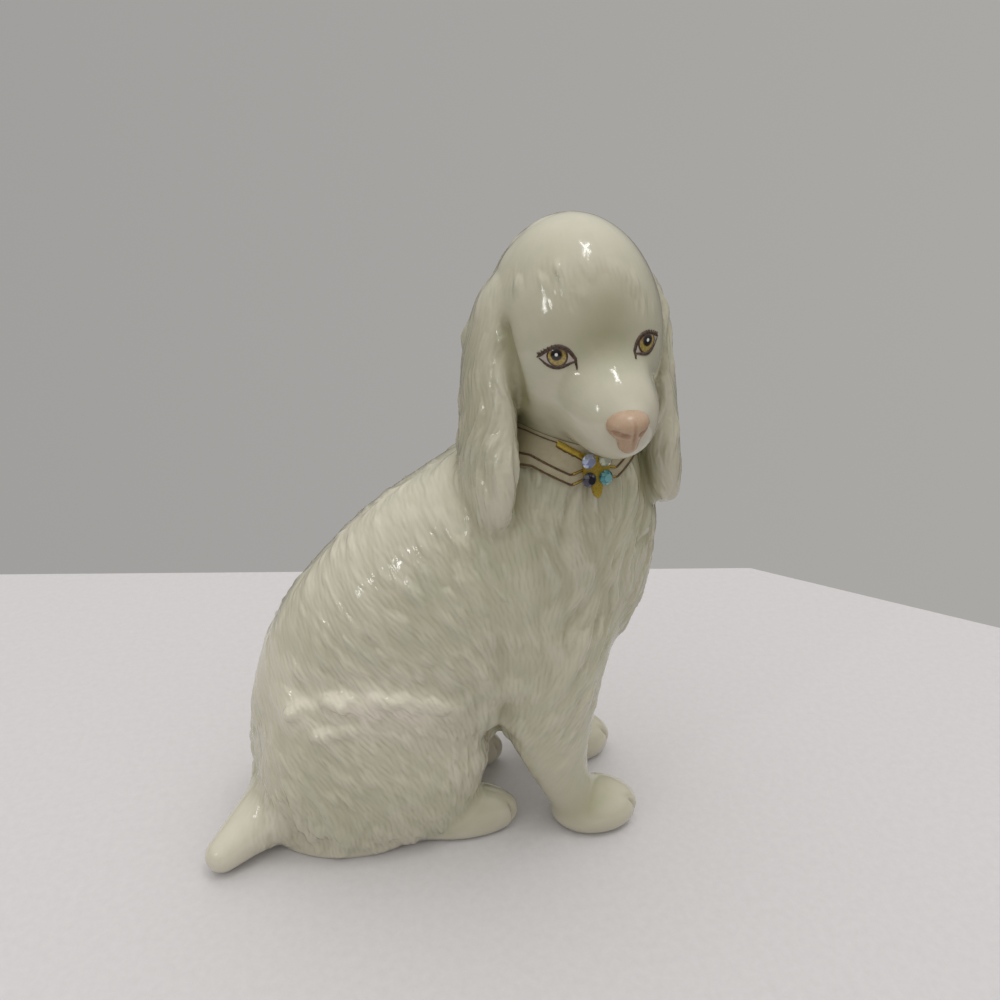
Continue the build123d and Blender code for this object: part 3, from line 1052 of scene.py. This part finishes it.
def painted_material(name, first, second, scale, low, high, metal=0.0):
    """A fired-on paint or metal with small changes of tone and gloss."""
    s = Shader(name)
    grain = s.noise(scale, 4.0, 0.6)
    s.join(s.mix(s.spread(grain, 0.32, 0.68), first, second), "Base Color")
    s.join(s.spread(grain, 0.3, 0.7, low, high), "Roughness")
    s.bump(s.noise(scale * 2.5, 3.0, 0.6), 0.15, 0.05)
    s.set(Metallic=metal)
    return s.material


eye_paint = eye_material()
lash_paint = painted_material("lash_paint", srgb(50, 36, 26), srgb(84, 62, 44), 1800.0, 0.2, 0.35)
eye_piece("right_painted_eye", -1)
eye_piece("left_painted_eye", 1)

# Nose: a rounded pad with nostrils, on a fine grid of its own.
NOSE_VOXEL = 0.14
NOSE_REACH = 7.5
NOSE_RELAX_ROUNDS = 4
DIP_FADE = 3.0
NOSE_SHIFT = (-0.3, -0.65, -0.6)
NOSE_FORMS = [
    ((0.0, 0.0, 0.2), (3.6, 4.2, 2.8), 0.8, True),
    ((-0.4, 0.0, -3.0), (3.0, 2.1, 2.8), 1.6, True),
    ((3.3, 2.3, -0.9), (1.3, 1.25, 0.55), 0.5, False),
    ((3.3, -2.3, -0.9), (1.3, 1.25, 0.55), 0.5, False),
    ((2.6, 3.6, -0.4), (1.3, 1.0, 0.5), 0.5, False),
    ((2.6, -3.6, -0.4), (1.3, 1.0, 0.5), 0.5, False),
    ((3.9, 0.0, -2.6), (1.1, 0.22, 2.4), 0.4, False),
]


def nose_piece(material):
    centre = middle("nose_enamel") + np.array(NOSE_SHIFT) @ head_axes
    ticks = np.arange(-NOSE_REACH, NOSE_REACH, NOSE_VOXEL)
    grid_places = np.stack(np.meshgrid(ticks, ticks, ticks, indexing="ij"), axis=-1)
    values = np.full(grid_places.shape[:3], NOSE_REACH)
    for place, halves, reach, raised in NOSE_FORMS:
        form = egg(grid_places, np.array(place), np.eye(3), halves)
        if raised:
            values = smooth_union(values, form, reach)
        else:
            values = -smooth_union(-values, form, reach)
    grid = vdb.FloatGrid(background=NOSE_REACH)
    grid.copyFromArray(np.ascontiguousarray(values.astype(np.float32)))
    pad, faces = grid.convertToQuads(isovalue=0.0)
    pad = pad.astype(float) * NOSE_VOXEL - NOSE_REACH
    pad = relaxed(pad, faces.astype(np.int64), NOSE_RELAX_ROUNDS)
    mesh = bpy.data.meshes.new("nose_pad")
    mesh.from_pydata(((centre + pad @ head_axes) * MM).tolist(), [], faces.tolist())
    piece = link("nose_pad", mesh, [material])
    dip = np.zeros(len(pad))
    for place, halves, reach, raised in NOSE_FORMS:
        if not raised:
            gap = np.clip(egg(pad, np.array(place), np.eye(3), halves), 0, None)
            dip = np.maximum(dip, np.exp(-gap * DIP_FADE))
    layer = mesh.attributes.new("dip", "FLOAT", "POINT")
    layer.data.foreach_set("value", dip.astype(np.float32))
    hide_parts("nose_enamel")


def nose_material():
    s = Shader("nose_paint")
    cloud = s.noise(420.0, 4.0, 0.6)
    tone = s.mix(s.spread(cloud, 0.3, 0.7), srgb(192, 165, 140), srgb(177, 148, 121))
    tone = s.mix(s.spread(s.attribute("dip"), 0.3, 1.0, 0.0, 0.55), tone, srgb(150, 112, 84))
    s.join(tone, "Base Color")
    s.join(s.spread(cloud, 0.3, 0.7, 0.2, 0.32), "Roughness")
    s.bump(s.noise(1500.0, 3.0, 0.6), 0.2, 0.06)
    return s.material


nose_piece(nose_material())

stone_side = unit(middle("upper_left_stone") - middle("upper_right_stone"))
stone_up = unit(middle("upper_right_stone") - middle("lower_right_stone"))
stone_out = np.cross(stone_side, stone_up)
stone_out = stone_out if np.dot(stone_out, front_axis) > 0 else -stone_out

# Collar: the band keeps its CAD form; its lines are redrawn in umber, gilded near the stones.
LINE_STEP = math.radians(1.2)
LINE_RISE = 0.14
UMBER_RISE = 0.8
LINE_BOWS = (0.5, 1.0, 1.0, 0.5)
LINE_DROP = 0.35
LINE_UNEVEN = (0.85, 1.12)
# Widths of the umber line, the gilded part and its edge; how far that reaches aside; its dip.
LINES = {
    "collar_upper_gold_line": (0.20, 1.30, 0.34, 8.0, 2.0),
    "collar_lower_gold_line": (0.42, 0.40, 0.12, 5.2, 0.0),
    "collar_inner_gold_line": (0.42, 0.40, 0.12, 5.2, 0.0),
}
gold = painted_material("gold_paint", srgb(192, 166, 64), srgb(160, 134, 42), 1400.0, 0.22, 0.40, 0.45)
umber = painted_material("umber_paint", srgb(70, 50, 28), srgb(104, 80, 46), 1600.0, 0.3, 0.45)
neck_low, neck_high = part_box("collar_band")
neck_axis = (np.array(neck_low) + np.array(neck_high)) / (2 * MM)


def cut_at(node_points, edges, turn):
    """Middle of a ring's section by the half plane at an angle round the neck."""
    rel = node_points - neck_axis
    aside = rel[:, 1] * math.cos(turn) - rel[:, 0] * math.sin(turn)
    start, end = aside[edges[:, 0]], aside[edges[:, 1]]
    ahead = rel[edges[:, 0], 0] * math.cos(turn) + rel[edges[:, 0], 1] * math.sin(turn)
    crossing = edges[(start * end < 0) & (ahead > 0)]
    if len(crossing) == 0:
        return None
    a, b = aside[crossing[:, 0]], aside[crossing[:, 1]]
    share = (a / (a - b))[:, None]
    cuts = node_points[crossing[:, 0]] * (1 - share) + node_points[crossing[:, 1]] * share
    return (cuts.min(axis=0) + cuts.max(axis=0)) / 2


def gold_line(node, line_width, gilt_width, edge_width, gilt_reach, dip):
    node_points, corners = node_mesh(node)
    node_points = node_points.astype(float)
    corners = corners.astype(int)
    edges = np.concatenate([corners[:, [i, (i + 1) % 3]] for i in range(3)])
    turns = np.arange(-math.pi, math.pi, LINE_STEP)
    stations = [cut_at(node_points, edges, turn) for turn in turns]
    line = np.array([place for place in stations if place is not None])
    way = unit(np.roll(line, -1, axis=0) - np.roll(line, 1, axis=0))
    out = (line - neck_axis) * (1.0, 1.0, 0.0)
    out = unit(out - way * (out * way).sum(axis=1, keepdims=True))
    up = np.cross(out, way)
    from_stones = line - middle("gilded_pendant")
    aside = np.abs(from_stones @ stone_side)
    gilt = (aside < gilt_reach) & (from_stones @ stone_out > -gilt_reach)
    line = line - up * (dip * gilt * (1 - aside / gilt_reach))[:, None]
    uneven = rng.uniform(*LINE_UNEVEN, len(line))
    builder = Builder()
    closed = list(range(len(line))) + [0]

    def strip(chosen, low, high, height, slot):
        rows = []
        for index in chosen:
            levels = np.linspace(low, high, len(LINE_BOWS)) * uneven[index]
            bows = height * np.array(LINE_BOWS)
            rows.append([line[index] + up[index] * v + out[index] * b for v, b in zip(levels, bows)])
        drop = np.repeat(LINE_DROP * out[chosen][:, None, :], len(LINE_BOWS), axis=1)
        places, faces = closed_strip(rows, drop)
        builder.add(places, faces, slot)

    strip(closed, -line_width / 2, line_width / 2, UMBER_RISE * LINE_RISE, 1)
    front = np.flatnonzero(gilt)
    breaks = np.flatnonzero(np.diff(front) > 1)
    for run in np.split(front, breaks + 1):
        if len(run) > 2:
            strip(run, -gilt_width / 2, gilt_width / 2, LINE_RISE, 0)
            strip(run, -gilt_width / 2 - edge_width, -gilt_width / 2, LINE_RISE, 1)
    builder.piece(node.replace("gold_line", "painted_line"), node, [gold, umber], "gold")


for node, sizes in LINES.items():
    gold_line(node, *sizes)


def dress(node, material):
    """Gives a CAD node that keeps its form a better material."""
    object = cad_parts[node]
    object.data.materials.clear()
    object.data.materials.append(material)


# Painted shade: the collar's glaze darkens away from the stones, towards the jaw and ears, partly pooled
# glaze.
BAND_UNSHADED = 9.0
BAND_SHADED = 17.0


def collar_material():
    s = Shader("collar_glaze")
    grain = s.noise(500.0, 4.0, 0.6)
    tone = s.mix(s.spread(grain, 0.32, 0.68), srgb(188, 178, 150), srgb(172, 162, 132))
    stones = tuple(middle("gilded_pendant") * MM)
    far = s.add("VectorMath", {0: s.place(), 1: stones}, operation="DISTANCE").outputs["Value"]
    # Painted shade in olive away from the stones.
    tone = s.mix(s.spread(far, BAND_UNSHADED * MM, BAND_SHADED * MM, 0.0, 0.8), tone, srgb(132, 124, 92))
    s.join(tone, "Base Color")
    s.join(s.spread(grain, 0.3, 0.7, 0.14, 0.26), "Roughness")
    s.bump(s.noise(1250.0, 3.0, 0.6), 0.15, 0.05)
    return s.material


band = collar_material()
resin = painted_material("resin", srgb(176, 160, 112), srgb(150, 134, 92), 900.0, 0.1, 0.2)
dress("collar_band", band)
dress("gilded_pendant", gold)
dress("stone_adhesive", resin)

# Stones: cut crowns with a flat table, foil backed.
STONE_RADIUS = 1.62
STONE_SINK = 0.75
STONE_RINGS = [(0.0, 0.95, 16, 0.0), (0.35, 1.0, 16, 0.0), (0.85, 0.80, 8, 0.5), (1.30, 0.54, 8, 0.0)]
# Each stone: its material slot and three tones, its colour with a darker and a lighter tone that paint
# reflections on its facets.
STONES = {
    "upper_right_stone": ("clear_stone", [(186, 196, 222), (116, 126, 182), (230, 232, 240)]),
    "upper_left_stone": ("pale_stone", [(178, 182, 158), (150, 156, 128), (206, 208, 190)]),
    "lower_right_stone": ("sapphire_stone", [(50, 46, 66), (32, 29, 42), (72, 68, 98)]),
    "lower_left_stone": ("aqua_stone", [(62, 140, 148), (34, 96, 106), (140, 200, 204)]),
}


def stone_material(name, colours):
    s = Shader(name)
    glint = s.attribute("glint")
    # Painted reflections: each facet takes a random darker or lighter tone over the stone's colour.
    tone = s.mix(s.spread(glint, 0.1, 0.5), srgb(*colours[1]), srgb(*colours[0]))
    tone = s.mix(s.spread(glint, 0.72, 0.95), tone, srgb(*colours[2]))
    s.join(tone, "Base Color")
    s.join(s.spread(s.noise(1200.0), 0.3, 0.7, 0.03, 0.08), "Roughness")
    s.set(Metallic=0.35, Coat_Weight=1.0, Coat_Roughness=0.02)
    return s.material


def stone_piece(node, slot, colours):
    base = middle(node) - STONE_SINK * stone_out
    places = []
    rings = []
    for height, share, count, offset in STONE_RINGS:
        ring = []
        for k in range(count):
            turn = 2 * math.pi * (k + offset) / count
            spot = math.cos(turn) * stone_side + math.sin(turn) * stone_up
            ring.append(len(places))
            places.append(base + spot * share * STONE_RADIUS + stone_out * height)
        rings.append(ring)
    faces = [rings[0][::-1], rings[3]]
    back, girdle, star, top = rings
    for k in range(16):
        faces.append([back[k], back[(k + 1) % 16], girdle[(k + 1) % 16], girdle[k]])
    for k in range(8):
        a, b, c = girdle[2 * k], girdle[2 * k + 1], girdle[(2 * k + 2) % 16]
        faces += [[a, b, star[k]], [b, c, star[k]]]
        faces.append([star[k], c, star[(k + 1) % 8], top[(k + 1) % 8]])
        faces.append([top[k], star[k], top[(k + 1) % 8]])
    builder = Builder()
    if np.dot(np.cross(stone_side, stone_up), stone_out) < 0:
        faces = [face[::-1] for face in faces]
    builder.add(places, faces, 0)
    piece = builder.piece("cut_" + node, node, [stone_material(slot, colours)], slot)
    mesh = piece.data
    mesh.polygons.foreach_set("use_smooth", [False] * len(mesh.polygons))
    layer = mesh.attributes.new("glint", "FLOAT", "FACE")
    layer.data.foreach_set("value", rng.uniform(size=len(mesh.polygons)).astype(np.float32))


for node, (slot, colours) in STONES.items():
    stone_piece(node, slot, colours)

# Camera, light and table.
camera_data = bpy.data.cameras.new("camera")
camera_data.sensor_width = SENSOR
camera_data.lens = FOCAL_PIXELS / PICTURE * SENSOR
camera = bpy.data.objects.new("camera", camera_data)
camera.location = CAMERA_PLACE * MM
camera.rotation_euler = CAMERA_TURN
bpy.context.scene.collection.objects.link(camera)
bpy.context.scene.camera = camera


# The table ends where the photograph's does, at the wall behind and at the right.
TABLE_EDGE = [(-300, 577), (750, 568), (1300, 700)]
TABLE_FRONT = [(450.0, -600.0, 0.0), (-600.0, -600.0, 0.0)]
corners = [on_table(x, y) for x, y in TABLE_EDGE] + [np.array(place) for place in TABLE_FRONT]
table_mesh = bpy.data.meshes.new("table")
table_mesh.from_pydata([tuple(corner * MM) for corner in corners], [], [[4, 3, 2, 1, 0]])
table = bpy.data.objects.new("table", table_mesh)
bpy.context.scene.collection.objects.link(table)
cloth = Shader("table")
speck = cloth.noise(500.0, 4.0, 0.6)
cloth.join(cloth.mix(cloth.spread(speck, 0.3, 0.7), srgb(206, 203, 204), srgb(212, 209, 210)), "Base Color")
cloth.join(cloth.spread(speck, 0.3, 0.7, 0.5, 0.65), "Roughness")
table_mesh.materials.append(cloth.material)


def lamp(name, place, aim, width, depth, power):
    data = bpy.data.lights.new(name, "AREA")
    data.shape = "RECTANGLE"
    data.size = width * MM
    data.size_y = depth * MM
    data.energy = power
    light = bpy.data.objects.new(name, data)
    light.location = np.array(place) * MM
    way = Vector(aim) - Vector(place)
    light.rotation_euler = way.to_track_quat("-Z", "Y").to_euler()
    bpy.context.scene.collection.objects.link(light)


# Two crossed strips of lamp above, for small sharp lights on the glaze, and one weak at the side.
LAMP_PLACE = (145.0, -112.0, 709.0)
LAMP_AIM = (35.0, -20.0, 125.0)
LAMP_LONG = 190.0
LAMP_THIN = 26.0
LAMP_POWER = 0.22
SIDE_PLACE = (-370.0, -285.0, 285.0)
SIDE_AIM = (-20.0, -10.0, 60.0)
SIDE_LONG = 90.0
SIDE_POWER = 0.11
lamp("lamp_across", LAMP_PLACE, LAMP_AIM, LAMP_LONG, LAMP_THIN, LAMP_POWER)
lamp("lamp_along", LAMP_PLACE, LAMP_AIM, LAMP_THIN, LAMP_LONG, LAMP_POWER)
lamp("lamp_side", SIDE_PLACE, SIDE_AIM, LAMP_THIN, SIDE_LONG, SIDE_POWER)

# Room: soft light from all round, stronger from above.
WALL_LEFT = -0.35
WALL_RIGHT = 0.6
HORIZON_LIGHT = 0.12
ZENITH_LIGHT = 1.30
world = bpy.data.worlds.new("room")
bpy.context.scene.world = world
world.use_nodes = True
nodes = world.node_tree.nodes
links = world.node_tree.links
way = nodes.new("ShaderNodeTexCoord")
parts = nodes.new("ShaderNodeSeparateXYZ")
links.new(way.outputs["Generated"], parts.inputs[0])
climb = nodes.new("ShaderNodeMapRange")
climb.inputs["To Min"].default_value = HORIZON_LIGHT
climb.inputs["To Max"].default_value = ZENITH_LIGHT
links.new(parts.outputs["Z"], climb.inputs["Value"])
fill = nodes["Background"]
fill.inputs["Color"].default_value = (1.0, 0.99, 0.97, 1.0)
links.new(climb.outputs["Result"], fill.inputs["Strength"])
wall = nodes.new("ShaderNodeBackground")
# Painted light: the wall seen behind is a backdrop colour, darker at the left and lighter at the right.
wall_light_falloff = nodes.new("ShaderNodeMix")
wall_light_falloff.data_type = "RGBA"
wall_light_falloff.inputs[6].default_value = srgb(161, 159, 157)
wall_light_falloff.inputs[7].default_value = srgb(170, 168, 165)
across = nodes.new("ShaderNodeMapRange")
across.inputs["From Min"].default_value = WALL_LEFT
across.inputs["From Max"].default_value = WALL_RIGHT
links.new(parts.outputs["X"], across.inputs["Value"])
links.new(across.outputs["Result"], wall_light_falloff.inputs[0])
links.new(wall_light_falloff.outputs[2], wall.inputs["Color"])
path = nodes.new("ShaderNodeLightPath")
choice = nodes.new("ShaderNodeMixShader")
links.new(path.outputs["Is Camera Ray"], choice.inputs[0])
links.new(fill.outputs[0], choice.inputs[1])
links.new(wall.outputs[0], choice.inputs[2])
links.new(choice.outputs[0], nodes["World Output"].inputs["Surface"])
bpy.context.scene.view_settings.view_transform = "Standard"
